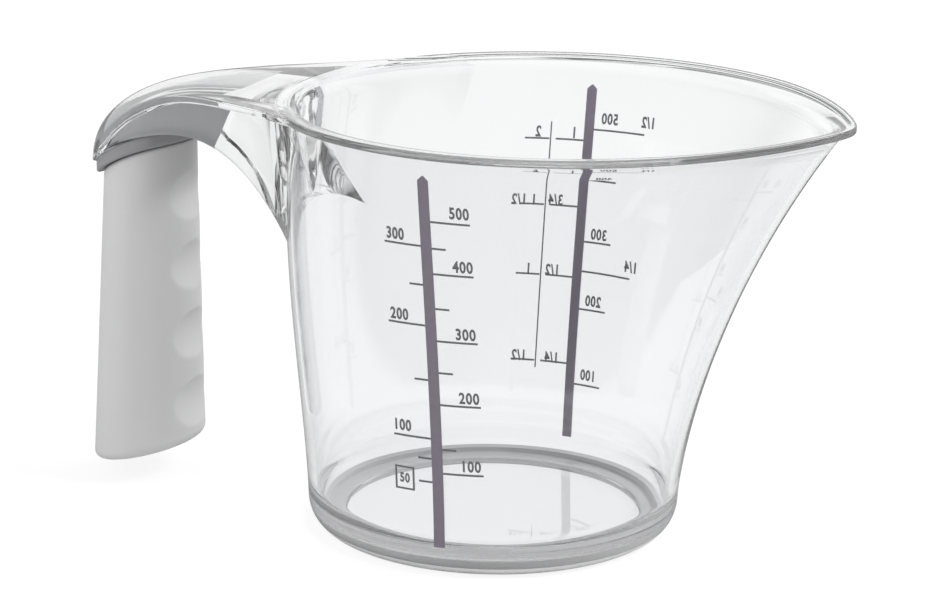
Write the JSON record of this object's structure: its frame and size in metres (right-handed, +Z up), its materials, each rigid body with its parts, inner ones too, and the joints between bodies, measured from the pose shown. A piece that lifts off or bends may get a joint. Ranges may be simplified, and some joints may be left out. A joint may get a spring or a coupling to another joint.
{
  "type": "measuring jug",
  "caption": "Clear measuring jug with a flared rim and a wide pouring spout, a hooded arm with a soft upright grip, a soft foot ring and printed scales on both sides",
  "frame": {"origin": "On the table, in the plane of the foot ring's underside, at the centre of the round base", "axes": "+Z up, +X towards the spout, -X towards the handle; the shape is mirrored about the XZ plane, with the gram scale on the -Y side and the litre scale on the +Y side"},
  "size_m": [0.1821, 0.1224, 0.0985],
  "materials": {
    "clear_plastic": "clear, polished",
    "foot_rubber": "satin, moulded",
    "core_plastic": "fine satin",
    "grip_rubber": "soft satin",
    "bar_print": "flat printing ink",
    "line_print": "flat printing ink"
  },
  "bodies": {
    "root": {"jug_body": "clear_plastic", "handle_bracket": "clear_plastic", "foot_ring": "foot_rubber", "grip_core": "core_plastic", "grip_sleeve": "grip_rubber", "gram_scale_bar": "bar_print", "gram_scale_lines": "line_print", "litre_scale_bar": "bar_print", "litre_scale_lines": "line_print"}
  },
  "joints": []
}
